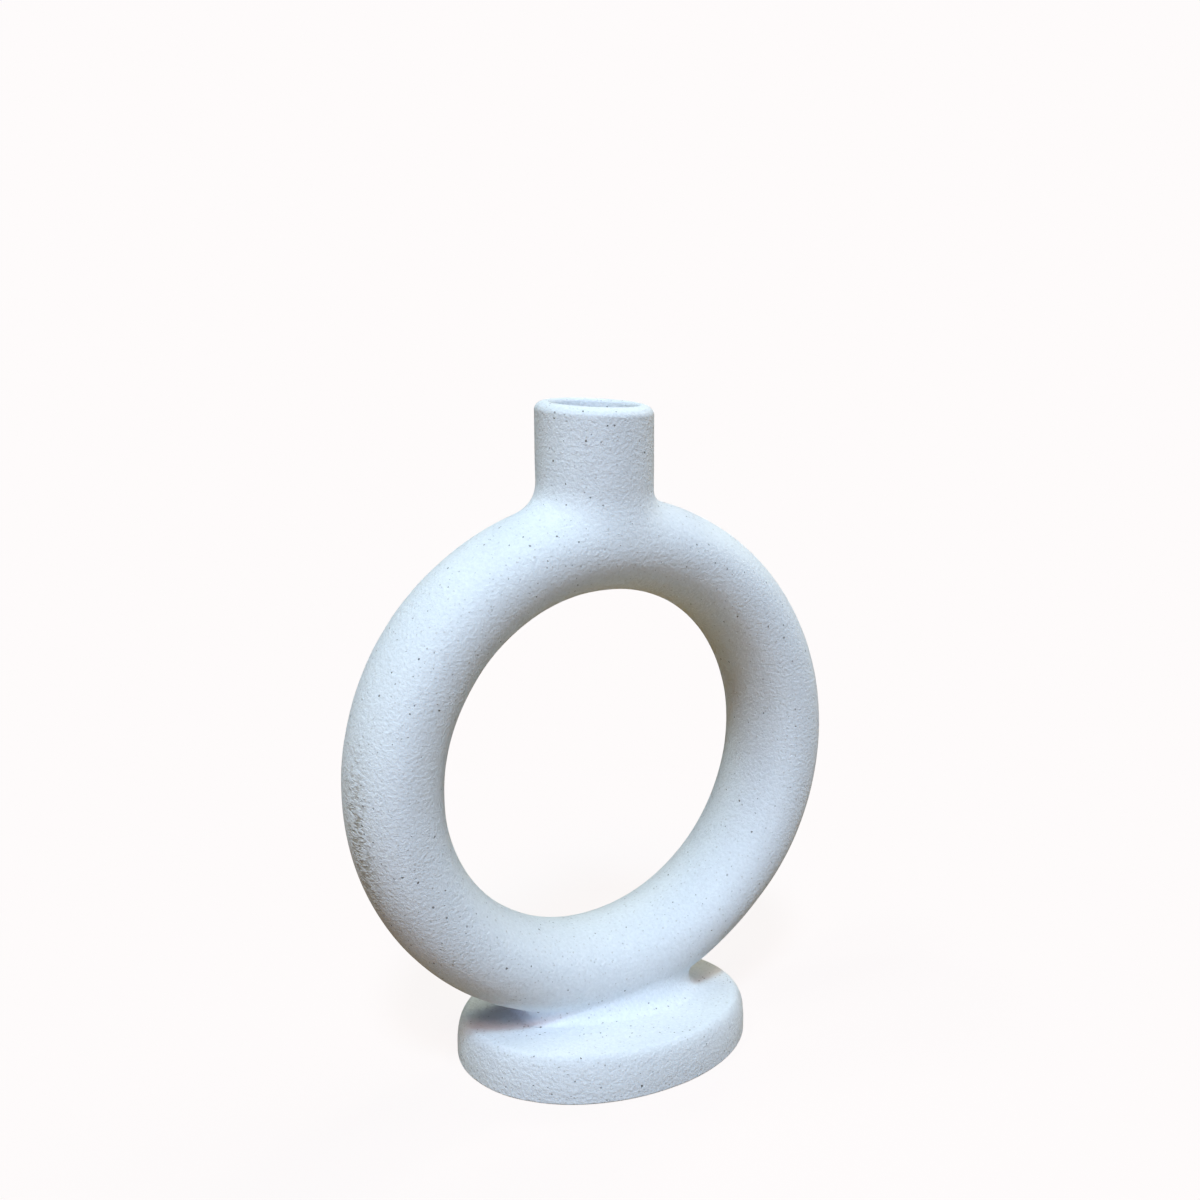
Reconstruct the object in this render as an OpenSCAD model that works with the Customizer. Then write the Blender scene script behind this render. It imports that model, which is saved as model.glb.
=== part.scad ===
// A donut vase: a hollow ring of stoneware that stands on a low pebble foot
// and carries a short round neck. The ring lies in the X Z plane, Y is its axis,
// and the origin is the middle of the face that the foot stands on.

/* [Ring] */
// Radius of the ring's centre line
ring_r = 80; // [70:1:110]
// Thickness of the hollow tube, measured in the plane of the ring
tube_thick = 33.2; // [26:0.2:40]
// Depth of the hollow tube, from its front to its back
tube_depth = 42; // [36:0.5:60]
// Wall of the two pressed shells
wall = 4.5; // [3:0.5:7]

/* [Neck] */
// Outer diameter of the neck
neck_d = 41.8; // [36:0.2:50]
// Diameter of the bore that takes the stems
bore_d = 31; // [20:0.5:33]
// How much the bore widens, on its radius, on the way down from the crown into the ring
bore_flare = 0.6; // [0.2:0.1:1.5]
// Height of the rim above the crown of the ring
neck_h = 34; // [20:1:80]
// Height of the rounded lip
lip_h = 4; // [2:0.5:8]
// Radius of the blend between the neck and the ring
neck_blend = 10; // [6:0.5:14]

/* [Foot] */
// Length of the foot, along the ring
foot_x = 113.6; // [100:0.2:150]
// Width of the foot, front to back
foot_y = 96.4; // [80:0.2:130]
// Height of the foot
foot_h = 14; // [12:0.5:24]
// How far the rounded top edge comes in from the side
shoulder_in = 4.2; // [3:0.2:14]
// How far the rounded top edge goes down
shoulder_down = 9.8; // [3:0.2:11]
// Radius of the bottom edge
heel_r = 1.2; // [0.6:0.2:2]
// Width of the rim that the foot stands on
rim_w = 12; // [8:0.5:16]
// Depth of the hollow under the foot
hollow_h = 5; // [4.5:0.5:7]
// How deep the ring is bedded in the foot
bed = 0.6; // [0.4:0.1:2]
// Half length of the clay that fills the joint between ring and foot
joint_x = 36; // [30:1:42]
// Half width of the clay that fills the joint between ring and foot
joint_y = 17.6; // [15:0.2:17.6]

/* [Hidden] */
$fn = 72;

// Steps around the foot and its joint, around one side of the neck, along a rounded edge or a blend,
// along the foot's bottom edge, and along the face where a coil lies on the ring
foot_steps = 60;
neck_steps = 26;
round_steps = 8;
heel_steps = 3;
seat_steps = 5;
// Thickness at which a smoothed coil of clay ends
feather = 0.3;
// How far a cutter reaches past the face that it cuts
reach = 2;
// Gap that keeps the flat facets of a coil clear of the round faces beside it
fit_gap = 0.1;
// Share of the tube's half depth where the blend of the neck has run out
blend_end = 0.9;
// How far the seat of the collar lies over the line where the tube is as deep as the neck is wide
seat_lift = 1;
// How far over the ring's crown the straight part of the bore begins
bore_lift = 0.4;

half_thick = tube_thick / 2;
half_depth = tube_depth / 2;
neck_r = neck_d / 2;
bore_r = bore_d / 2;
crown = ring_r + half_thick;
ring_z = foot_h - bed + crown;
rim_z = ring_z + crown + neck_h;

// The tube's section is a four-centred oval. Its two side arcs meet its two end arcs without a
// corner, because the arcs' centres stand off the middle as the short sides of a 3, 4, 5 triangle.
oval_more = half_depth - half_thick;
side_mid = 2 * oval_more;
end_mid = 1.5 * oval_more;
side_r = half_thick + side_mid;
end_r = half_depth - end_mid;
meet_share = 0.6;

// Distance of the tube's outer face from the ring's axis at a depth y
function tube_reach(y) =
    ring_r + (abs(y) < meet_share * side_r ? sqrt(side_r * side_r - y * y) - side_mid
                                           : sqrt(max(0, end_r * end_r - pow(abs(y) - end_mid, 2))));

// How fast that distance falls as the depth grows
function tube_fall(y) =
    abs(y) < meet_share * side_r
        ? abs(y) / sqrt(side_r * side_r - y * y)
        : (abs(y) - end_mid) / sqrt(max(0.001, end_r * end_r - pow(abs(y) - end_mid, 2)));

// The collar stands on the cut wall of the ring, over the line where both are equally wide
collar_z = ring_z + tube_reach(min(neck_r, half_depth)) + seat_lift;

// Height of the tube's outer face over the ring's centre at a place x, y, or under it at the foot
function crown_rise(x, y) = sqrt(tube_reach(y) * tube_reach(y) - x * x);

// How fast that height falls on the way straight out from the middle to the place x, y
function crown_fall(x, y) =
    (x * x + tube_reach(y) * tube_fall(y) * abs(y)) / (norm([x, y]) * crown_rise(x, y));

// Points of a conic arc that leaves from along from-corner and arrives along corner-to
function blend_arc(from, corner, to) = [
    for (i = [0:round_steps])
        let (t = i / round_steps)
        (1 - t) * (1 - t) * from + 2 * t * (1 - t) * corner + t * t * to
];

// Half length and half width of the middle of the joint, where the ring lies in the foot
core_rise = bed + feather + fit_gap;
core_x = sqrt(pow(crown, 2) - pow(crown - core_rise, 2));
core_y = sqrt(pow(side_r, 2) - pow(side_r - core_rise, 2));

// A profile in the upright plane at an angle, as points in space
function upright(profile, angle) =
    [for (p = profile) [p[0] * cos(angle), p[0] * sin(angle), p[1]]];

// A closed skin over a row of loops that have the same number of points
module skin(loops, closed = false) {
    rows = len(loops);
    count = len(loops[0]);
    sides = [
        for (i = [0:(closed ? rows - 1 : rows - 2)])
            for (j = [0:count - 1])
                let (k = (i + 1) % rows, m = (j + 1) % count)
                each [
                    [i * count + j, k * count + m, i * count + m],
                    [i * count + j, k * count + j, k * count + m]
                ]
    ];
    caps = [
        [for (j = [0:count - 1]) j],
        [for (j = [count - 1:-1:0]) (rows - 1) * count + j]
    ];
    polyhedron(points = [for (loop = loops) each loop], faces = closed ? sides : concat(sides, caps));
}

// Section of the tube, with its faces moved in by inset
module oval(inset) {
    translate([ring_r, 0]) {
        intersection() {
            translate([-side_mid, 0])
                circle(r = side_r - inset);
            translate([side_mid, 0])
                circle(r = side_r - inset);
            square([2 * tube_thick, 2 * meet_share * (side_r - inset)], center = true);
        }
        for (end = [-1, 1])
            translate([0, end * end_mid])
                circle(r = end_r - inset);
    }
}

// Turns a section around the axis of the ring, side is 1 for the front and -1 for the back
module around_ring(side) {
    translate([0, 0, ring_z])
        rotate([90 * side, 0, 0])
            rotate_extrude()
                children();
}

module tube_solid(inset) {
    around_ring(1)
        oval(inset);
}

// Hole in the crown of the ring that the collar is set into
module collar_hole() {
    translate([0, 0, collar_z])
        cylinder(r = neck_r, h = rim_z - collar_z);
}

// Half of the hollow ring, side is 1 for the front and -1 for the back
module ring_half(side) {
    difference() {
        around_ring(side)
            intersection() {
                difference() {
                    oval(0);
                    oval(wall);
                }
                square([2 * crown, half_depth]);
            }
        collar_hole();
    }
}

module ring_front_half() {
    color([0.86, 0.87, 0.89])
        ring_half(1);
}

module ring_back_half() {
    color([0.82, 0.83, 0.85])
        ring_half(-1);
}

// Round collar with a lip that is half an ellipse over its wall, trimmed along the ring's cavity
module neck_collar() {
    lip_mid = (neck_r + bore_r) / 2;
    lip_half = (neck_r - bore_r) / 2;
    color([0.88, 0.90, 0.92])
        difference() {
            rotate_extrude()
                polygon([
                    [bore_r, ring_z + crown + bore_lift],
                    [bore_r + bore_flare, collar_z],
                    [neck_r, collar_z],
                    for (i = [0:2 * round_steps])
                        let (angle = 90 * i / round_steps)
                        [lip_mid + lip_half * cos(angle), rim_z - lip_h + lip_h * sin(angle)]
                ]);
            tube_solid(wall);
        }
}

// Profile of the clay between neck and crown in the upright plane at an angle
function crown_blend(angle) =
    let (
        across = cos(angle),
        deep = sin(angle),
        wall_r = neck_r + fit_gap,
        tilt = atan(crown_fall(neck_r * across, neck_r * deep)),
        end_r = neck_r + neck_blend / tan((90 + tilt) / 2) * cos(tilt),
        end_z = ring_z + crown_rise(end_r * across, end_r * deep),
        corner_z = end_z + crown_fall(end_r * across, end_r * deep) * (end_r - neck_r),
        top_z = corner_z + norm([end_r - neck_r, end_z - corner_z])
    )
    concat(
        [[wall_r, top_z]],
        blend_arc([wall_r + feather, top_z], [wall_r + feather, corner_z + feather],
                  [end_r, end_z + feather]),
        [
            for (i = [0:seat_steps])
                let (r = end_r + (wall_r - end_r) * i / seat_steps)
                [r, ring_z + crown_rise(r * across, r * deep) + fit_gap]
        ]
    );

// Coil of clay smoothed into the two corners between the neck and the crown of the ring
module neck_joint_coil() {
    span = asin(min(1, blend_end * half_depth / neck_r));
    color([0.84, 0.86, 0.88])
        for (turn = [0, 180])
            rotate([0, 0, turn])
                skin([
                    for (i = [0:neck_steps])
                        let (angle = span * (2 * i / neck_steps - 1))
                        upright(crown_blend(angle), angle)
                ]);
}

// Loop of the foot's outline, moved in by inset, at a height z
function foot_loop(inset, z) = [
    for (i = [0:foot_steps - 1])
        let (angle = 360 * i / foot_steps)
        [(foot_x / 2 - inset) * cos(angle), (foot_y / 2 - inset) * sin(angle), z]
];

// Low oval pebble with a rounded shoulder, hollowed under a standing rim
module foot_disc() {
    color([0.86, 0.88, 0.90])
        difference() {
            skin([
                for (i = [0:heel_steps])
                    let (angle = 90 * i / heel_steps)
                    foot_loop(heel_r * (1 - sin(angle)), heel_r * (1 - cos(angle))),
                for (i = [0:round_steps])
                    let (angle = 90 * i / round_steps)
                    foot_loop(shoulder_in * (1 - cos(angle)), foot_h - shoulder_down * (1 - sin(angle)))
            ]);
            translate([0, 0, -reach])
                linear_extrude(hollow_h + reach)
                    polygon([for (p = foot_loop(rim_w, 0)) [p[0], p[1]]]);
            tube_solid(0);
        }
}

// Section of the clay under the ring at an angle around the foot, from the outside to the middle.
// A ball that touches the ring at x, y and the foot's top shapes its open face.
function under_blend(angle) =
    let (
        x = joint_x * cos(angle),
        y = joint_y * sin(angle),
        r = norm([x, y]),
        tilt = atan(crown_fall(x, y)),
        arm = (ring_z - crown_rise(x, y) - foot_h) / sin(tilt),
        ball = arm * tan(tilt / 2),
        mid_r = r - arm * cos(tilt) + arm,
        trim = acos(1 - feather / ball),
        first = 270 - trim,
        last = 90 + tilt + trim,
        face = [
            for (i = [0:round_steps])
                let (a = first + (last - first) * i / round_steps)
                [mid_r + ball * cos(a), foot_h + ball + ball * sin(a)]
        ],
        lip_r = face[round_steps][0] - feather * sin(tilt),
        lip = [x, y] * lip_r / r,
        core = [core_x * cos(angle), core_y * sin(angle)]
    )
    concat(
        upright(concat([[face[0][0], foot_h]], face), atan2(y, x)),
        [
            for (i = [0:seat_steps])
                let (p = lip + (core - lip) * i / seat_steps)
                [p[0], p[1], ring_z - crown_rise(p[0], p[1]) - fit_gap]
        ],
        [[core[0], core[1], foot_h]]
    );

// Coil of clay pressed into the wedge between the ring and the top of the foot
module foot_joint_coil() {
    color([0.83, 0.84, 0.86])
        skin([for (i = [0:foot_steps - 1]) under_blend(360 * i / foot_steps)], closed = true);
}

ring_front_half();
ring_back_half();
neck_collar();
neck_joint_coil();
foot_disc();
foot_joint_coil();
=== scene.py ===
"""A donut vase of speckled stoneware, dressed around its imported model.

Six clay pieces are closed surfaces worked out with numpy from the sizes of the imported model: the
two pressed halves of a hollow ring, a round neck, the clay smoothed around the neck's root, a low
oval foot, and the clay pressed in under the ring. One speckled clay is mixed for all of them.
Lengths are in metres and angles in radians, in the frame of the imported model.
"""

import math
from functools import partial
from types import SimpleNamespace

import bpy
import numpy as np
from bpy.props import FloatProperty, FloatVectorProperty, PointerProperty
from mathutils import Matrix, Vector


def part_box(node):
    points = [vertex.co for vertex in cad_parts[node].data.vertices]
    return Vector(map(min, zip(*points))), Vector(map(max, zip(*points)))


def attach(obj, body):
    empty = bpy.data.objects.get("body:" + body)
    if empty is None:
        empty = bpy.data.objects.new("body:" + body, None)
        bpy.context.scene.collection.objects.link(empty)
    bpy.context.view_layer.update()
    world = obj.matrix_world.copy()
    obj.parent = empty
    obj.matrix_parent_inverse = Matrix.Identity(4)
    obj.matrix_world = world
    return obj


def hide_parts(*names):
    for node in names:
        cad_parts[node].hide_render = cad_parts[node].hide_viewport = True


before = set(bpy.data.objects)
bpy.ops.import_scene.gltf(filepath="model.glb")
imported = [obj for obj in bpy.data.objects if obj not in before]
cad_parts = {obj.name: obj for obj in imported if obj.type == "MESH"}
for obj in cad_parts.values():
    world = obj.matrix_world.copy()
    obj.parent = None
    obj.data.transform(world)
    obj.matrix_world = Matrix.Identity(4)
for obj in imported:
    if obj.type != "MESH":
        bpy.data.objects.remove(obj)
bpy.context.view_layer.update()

bl_info = {
    "name": "Donut Vase",
    "version": (1, 0, 0),
    "blender": (4, 5, 0),
    "location": "View3D > Sidebar > Donut Vase",
    "description": "Makes a ring vase of speckled stoneware, with its stage, lamps and camera",
    "category": "Add Mesh",
}

MM = 0.001
QUARTER = math.pi / 2
# Added to a length before it divides
TINY = 1e-12

# The tube's section is an oval of four arcs. Their centres lie off its middle by these multiples of
# half depth less half thickness, and they meet at this sine of the face's lean
SIDE_SHIFT, END_SHIFT = 2.0, 1.5
MEET_SINE = 0.6
# Least heights of the side and end arcs that a slope is worked out with
SIDE_LEAST, END_LEAST = MM, 0.1 * MM

# Steps around ring, neck and foot, along the tube's half section and the coils, and of the fine
# arcs that the section's length is measured on
RING_STEPS, NECK_STEPS, FOOT_STEPS = 600, 288, 480
HALF_SECTION_STEPS, BLEND_STEPS, COIL_STEPS = 68, 26, 30
ARC_STEPS = 4000
# Rows along the neck: its wall and bore, the lip's outer and inner rounding, and its seat
WALL_ROWS, LIP_ROWS, MOUTH_ROWS, SEAT_ROWS = 60, 19, 12, 8
# Rows along the foot: its flats, shoulder, side, standing rim and small roundings
FLAT_ROWS, SHOULDER_ROWS, SIDE_ROWS, RIM_ROWS, ROUND_ROWS = 14, 22, 9, 8, 7

# Sides of the parting plane
FRONT, BACK = -1, 1
# Lean of the tube's face up to which the neck's hole is cut, and where the hole's edge lies, from
# the neck's wall at 0 to its bore at 1
HOLE_LEAN, HOLE_SHARE = math.radians(74.5), 0.5

# Cells along each side of a cloud's lattice, and the seeds of waves and ripples
CLOUD_CELLS, WAVE_SEED, RIPPLE_SEED = 32, 3, 8
# Handwork changes from the ring's to the neck's between these heights from the crown, and from the
# foot's to the ring's over this height above the foot
NECK_BAND, FOOT_BAND = (-8 * MM, 4 * MM), 6 * MM
# It only goes inwards past this band before the ring's widest place, and past this band in depth
WIDEST_BAND, DEEPEST_BAND = (-6 * MM, -1 * MM), 1 * MM
# Height above the foot over which the pressed place and the shifted hole come in
CLEAR_FOOT = 12 * MM
# How softly directions fade out near the tube's middle and the vase's axis
TUBE_SOFT, AXIS_SOFT = 1 * MM, 5 * MM

# How far a coil stands over its neighbours, sinks into them at its edges, and how steeply, and how
# deep its hidden side runs inside them
COIL_LIFT, COIL_SINK, COIL_EDGE_POWER, COIL_ROOT = 0.015 * MM, 0.05 * MM, 14, 1.2 * MM

# How far from the corner of neck and ring the sponge has smoothed both, the share of that where it
# has done so fully, half the height over which this ends below, and the depth of the neck's skin
SPONGE_REACH, SPONGE_FULL, SPONGE_BAND, NECK_SKIN = 11 * MM, 0.5, 5 * MM, 1 * MM
# Slope that the sponge gave the foot's top at its edge, and share of the way there where it begins
FOOT_SPONGE, FOOT_SPONGE_FROM = 0.2, 0.45

# The chip in the foot's heel: its middle, its spread along each axis, and its direction
CHIP_PLACE = (-0.0413, -0.0277, 0.0)
CHIP_SPREAD = (0.0028, 0.0022, 0.0012)
CHIP_INWARDS = (0.62, 0.52, 0.58)

# Share by which the clay under the ring is fuller between its ends than an ellipse, and how much
# further out it meets the foot than the tube
JOINT_SQUARE, JOINT_SPLAY = 0.1, 1.2
# Half length of the oval core on its hidden side, and how many times that is its half width
JOINT_CORE, CORE_SLIMNESS = 8 * MM, 2

# Noises of the clay: scale in turns per metre, detail and roughness
STIR_NOISE = (1700.0, 1.0, 0.5)
CLOUD_NOISE = (55.0, 4.0, 0.6)
GRAIN_NOISE = (820.0, 3.0, 0.58)
WRINKLE_NOISE = (480.0, 2.0, 0.5)
SEAM_NOISE = (420.0, 3.0, 0.5)
STROKE_NOISE = (1.0, 2.0, 0.5)
# How far the first of them stirs the places of the grains
STIR_REACH = 0.6 * MM
# Grains: smallest and largest radius and soft edge, as shares of their spacing, the share of cells
# that hold one, how dark the palest is, and the skew of the rest towards it
SAND_GRAINS = (0.16, 0.38, 0.12, 0.55, 0.3, 1.3)
DARK_SPECKS = (0.115, 0.210, 0.065, 0.95, 0.18, 2.4)
# Contrast of the clouds and where they start, and the swing that grain gives colour and roughness
CLOUD_CONTRAST, CLOUD_START = 2.4, -0.7
COLOUR_SWING, ROUGH_SWING = 0.26, 0.24
# How strongly sand and seam colour the clay, and how much smoother a speck is
SAND_SHARE, SEAM_SHARE, SPECK_SMOOTHNESS = 0.68, 0.75, 0.15
# Heights over the grain's own, slimness of the wrinkles, and depth of a full bump
RIDGE_HEIGHT, SAND_HEIGHT, SPECK_HEIGHT, SEAM_HEIGHT = 0.07, 0.2, -0.4, -0.5
RIDGE_SLIMNESS, BUMP_DEPTH = 8.0, 0.5 * MM
# Bump of the clay and of the sponged joints, and gloss of both
BUMP, JOINT_BUMP, GLOSS = 0.85, 0.75, 0.3

# The seam's rough trace on the left limb: its middle, its reach along each axis, how ragged its
# edge is and where that lies, and the scale and contrast of the strokes across it
SEAM_MIDDLE = (-0.096, -0.0055, 0.095)
SEAM_REACH = (0.02, 0.0060, 0.030)
SEAM_RAGGED, SEAM_EDGE = 1.2, 1.85
STROKE_SCALE = (900.0, 320.0, 900.0)
STROKE_CONTRAST, STROKE_START = 6.0, -2.6

FLOOR_RADIUS, FLOOR_STEPS = 6.0, 128
# Where the vase's shadow on the floor starts to fade from the view, and where it has gone
SHADOW_NEAR, SHADOW_FAR = 0.13, 0.30

# Camera: place, then heading from the Y axis towards X, pitch and roll in degrees, then focal
# length and width of the frame in mm
CAMERA_PLACE = (-0.227168, -0.400090, 0.263258)
CAMERA_TURNS = (29.778, -11.593, -0.479)
CAMERA_LENS, FRAME_WIDTH = 39.198, 36.0
NEAREST_SEEN = 0.01

# Soft lamps: name, heading from the front towards the right, height, width as the vase sees it
# (all in degrees), and how brightly each lights a white face turned to it, in red, green and blue.
# They are drawn at this distance
LAMP_DISTANCE = 1.5
LAMPS = (
    ("window_high", -30.0, 60.0, 10.0, (0.360, 0.548, 0.695)),
    ("window_low", -30.0, 50.0, 12.0, (0.285, 0.192, 0.168)),
    ("room_front", 0.0, 10.0, 24.0, (0.135, 0.194, 0.274)),
    ("room_right", 90.0, 28.0, 24.0, (0.255, 0.256, 0.240)),
    ("room_left", -90.0, 10.0, 24.0, (0.081, 0.100, 0.156)),
    ("ceiling_left", -90.0, 60.0, 10.0, (0.133, 0.154, 0.130)),
    ("ceiling_back_left", -120.0, 60.0, 10.0, (0.126, 0.151, 0.138)),
    ("ceiling_back_right", 120.0, 50.0, 12.0, (0.198, 0.192, 0.150)),
)


# ---- Sizes and colours that a user can change ----


def number(name, description, default, **limits):
    """A slope, a share or another plain number for the panel."""
    return FloatProperty(name=name, description=description, default=default, **limits)


def length(name, description, default):
    """A length in metres for the panel."""
    return number(name, description, default, min=0.0, max=0.2, precision=5, unit="LENGTH")


def angle(name, description, degrees):
    """An angle for the panel."""
    return number(name, description, math.radians(degrees), subtype="ANGLE")


def share(name, description, default):
    """A share from 0 to 1 for the panel."""
    return number(name, description, default, min=0.0, max=1.0, subtype="FACTOR")


def colour(name, description, default):
    """A linear colour for the panel."""
    return FloatVectorProperty(
        name=name, description=description, default=default, size=3, min=0.0, max=1.0,
        subtype="COLOR",
    )


class VaseSizes(bpy.types.PropertyGroup):
    """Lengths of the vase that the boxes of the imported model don't give."""

    tube_thickness: length("Tube thickness", "Thickness of the tube in the ring's plane", 0.0332)
    wall: length("Wall", "Wall of the two pressed shells", 0.0045)
    bore: length("Bore", "Diameter of the neck's bore", 0.031)
    bore_flare: length("Bore flare", "How much the bore widens down into the ring", 0.0006)
    lip_width: length("Lip width", "How far the lip's rounding reaches in from outside", 0.0042)
    lip_height: length("Lip height", "Height of the lip's rounding", 0.0033)
    lip_edge: length("Lip edge", "Height of the rounding at the mouth's inner edge", 0.0015)
    neck_blend: length("Neck blend", "Radius of the clay smoothed between neck and ring", 0.010)
    shoulder_in: length("Shoulder in", "How far the foot's top edge comes in", 0.0042)
    shoulder_down: length("Shoulder down", "How far the foot's top edge goes down", 0.0098)
    heel: length("Heel", "Radius of the foot's bottom edge", 0.0008)
    rim_width: length("Standing rim", "Width of the rim that the foot stands on", 0.012)
    hollow: length("Hollow", "Depth of the hollow under the foot", 0.005)
    joint_x: length("Joint length", "Half length of the clay under the ring", 0.0374)
    joint_y: length("Joint width", "Half width of the clay under the ring", 0.0198)


class VaseHandwork(bpy.types.PropertyGroup):
    """What the potter's hands leave: a rim out of level, a pressed place and soft waves."""

    rim_fall_x: number("Rim rise along X", "Slope of the rim along X", -0.029)
    rim_fall_y: number("Rim rise along Y", "Slope of the rim along Y", 0.059)
    press_depth: length("Press depth", "How far the ring's outer face is pressed in", 0.001)
    press_turn: angle("Press place", "Turn around the ring at which it is pressed in", -52.0)
    press_spread: angle("Press spread", "Half width of the pressed place around the ring", 14.0)
    wave_depth: length("Wave depth", "Depth of the long soft waves", 0.0003)
    wave_size: length("Wave size", "Length of the long soft waves", 0.045)
    ripple_depth: length("Ripple depth", "Depth of the short soft ripples", 0.00009)
    ripple_size: length("Ripple size", "Length of the short soft ripples", 0.011)
    blend_bias: length("Blend bias", "How much broader the neck's blend is on its left", 0.0019)
    hole_shift_x: length("Hole shift X", "How far the ring's hole lies to the right", 0.0004)
    hole_shift_z: length("Hole shift Z", "How far the ring's hole lies lower", 0.0003)
    joint_shift_x: length("Joint shift", "How far the clay under the ring lies right", 0.0016)
    joint_egg: number("Joint egg", "Share by which that clay is wider on its right end", 0.1)
    foot_shift_y: length("Foot shift", "How far the foot stands forward", 0.0019)
    foot_egg: number("Foot egg", "Share by which the foot is wider on its right end", 0.02)
    foot_square: number("Foot squareness", "Share by which its outline is fuller", 0.009)
    foot_lift: length("Foot lift", "How much higher the foot's top is in its middle", 0.0004)
    foot_fall_x: number("Foot fall along X", "Slope of the foot's top down to the right", 0.028)
    foot_fall_y: number("Foot fall along Y", "Slope of the foot's top down to the back", 0.056)
    chip_depth: length("Chip depth", "Depth of the chip in the foot's heel", 0.0006)


class VaseClay(bpy.types.PropertyGroup):
    """Colours and grain of the speckled clay."""

    clay: colour("Clay", "Colour of the fired clay", (0.81, 0.84, 0.865))
    clay_shade: colour("Clay shade", "Colour of its darker clouds", (0.79, 0.82, 0.845))
    speck: colour("Speck", "Colour of the dark specks", (0.13, 0.115, 0.10))
    sand: colour("Sand", "Colour of the fine sandy grains", (0.52, 0.50, 0.47))
    seam: colour("Seam", "Colour of the fettled seam", (0.34, 0.29, 0.21))
    speck_spacing: length("Speck spacing", "Distance between dark specks", 0.0024)
    sand_spacing: length("Sand spacing", "Distance between sandy grains", 0.0012)
    roughness: share("Roughness", "Roughness of the fired clay", 0.78)


class VaseStudio(bpy.types.PropertyGroup):
    """Lamps, floor and background."""

    light: number("Light", "Level of all lamps together", 1.0, min=0.0)
    floor_colour: colour("Floor colour", "The floor as the vase sees it", (0.22, 0.13, 0.03))
    shaded_colour: colour(
        "Shaded floor", "Lit, it is as pale in the view as the background", (0.929, 0.8005, 0.764)
    )
    shadow: share("Shadow", "How strongly the view shows the shadow on the floor", 0.09)
    background: colour("Background", "Floor and background in the view", (0.991, 0.965, 0.965))


# ---- Shapes ----


def stack(*parts):
    """Parts of matching shapes, put together along a new last axis."""
    return np.stack(np.broadcast_arrays(*parts), -1)


def unit(vectors, soft=0.0):
    """Vectors divided by their lengths, to which soft is added."""
    return vectors / (np.linalg.norm(vectors, axis=-1, keepdims=True) + soft)


def turns(steps):
    """Angles at even steps once around."""
    return np.arange(steps) * (2 * math.pi / steps)


def spun(around, radius, height):
    """Points from their angles around Z, their radii and their heights."""
    return stack(radius * np.cos(around), radius * np.sin(around), height)


def smooth_step(value, low, high):
    """0 under low, 1 over high, and three t squared less two t cubed between them."""
    t = np.clip((value - low) / (high - low), 0, 1)
    return t * t * (3 - 2 * t)


def lay_out(sizes):
    """Lengths that the pieces share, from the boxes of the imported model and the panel's sizes."""
    ring_low, ring_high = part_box("ring_back_half")
    _, neck_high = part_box("neck_collar")
    _, foot_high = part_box("foot_disc")
    plan = SimpleNamespace()
    plan.crown = ring_high[0]
    plan.ring_z = ring_low[2] + plan.crown
    plan.crown_z = plan.ring_z + plan.crown
    plan.half_thick = sizes.tube_thickness / 2
    plan.half_depth = ring_high[1]
    plan.ring_r = plan.crown - plan.half_thick
    plan.wall = sizes.wall
    more = plan.half_depth - plan.half_thick
    plan.side_mid = SIDE_SHIFT * more
    plan.end_mid = END_SHIFT * more
    plan.side_r = plan.half_thick + plan.side_mid
    plan.end_r = plan.half_depth - plan.end_mid
    plan.neck_r = neck_high[0]
    plan.rim_z = neck_high[2]
    plan.bore_r = sizes.bore / 2
    plan.foot_x, plan.foot_y, plan.foot_h = foot_high
    return plan


def tube_reach(plan, y, inset=0.0):
    """Distance of the tube's face from the ring's axis at a depth y.

    It is the radius of the centre line plus the height of the oval there: the root of the arc's
    squared radius less the squared depth from the arc's centre, less that centre's offset.
    """
    side = plan.side_r - inset
    end = plan.end_r - inset
    deep = np.abs(y)
    on_side = np.sqrt(np.maximum(side**2 - deep**2, 0)) - plan.side_mid
    on_end = np.sqrt(np.maximum(end**2 - (deep - plan.end_mid) ** 2, 0))
    return plan.ring_r + np.where(deep < MEET_SINE * side, on_side, on_end)


def crown_rise(plan, x, y, inset=0.0):
    """Height of the tube's face over the ring's centre: root of squared reach less x squared."""
    return np.sqrt(np.maximum(tube_reach(plan, y, inset) ** 2 - x**2, 0))


def crown_fall(plan, x, y):
    """Slope of the tube's face straight outwards from the middle to x, y.

    It is x squared plus reach times the reach's own fall times depth, over distance times rise.
    """
    deep = np.abs(y)
    past = deep - plan.end_mid
    side_fall = deep / np.sqrt(np.maximum(plan.side_r**2 - deep**2, SIDE_LEAST**2))
    end_fall = past / np.sqrt(np.maximum(plan.end_r**2 - past**2, END_LEAST**2))
    fall = np.where(deep < MEET_SINE * plan.side_r, side_fall, end_fall)
    reach = tube_reach(plan, y)
    return (x**2 + reach * fall * deep) / (np.hypot(x, y) * crown_rise(plan, x, y))


def cloud(points, size, seed):
    """Smooth random values from -1 to 1: a lattice of random numbers, blended along each axis by
    the curve three t squared less two t cubed."""
    cells = CLOUD_CELLS
    lattice = np.random.default_rng(seed).uniform(-1, 1, (cells, cells, cells))
    cell = np.floor(points / size)
    part = points / size - cell
    part = part * part * (3 - 2 * part)
    index = cell.astype(int)
    value = np.zeros(points.shape[:-1])
    for corner in np.ndindex(2, 2, 2):
        weight = np.prod(np.where(np.array(corner, bool), part, 1 - part), axis=-1)
        at = (index + np.array(corner)) % cells
        value += weight * lattice[at[..., 0], at[..., 1], at[..., 2]]
    return value


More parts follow.
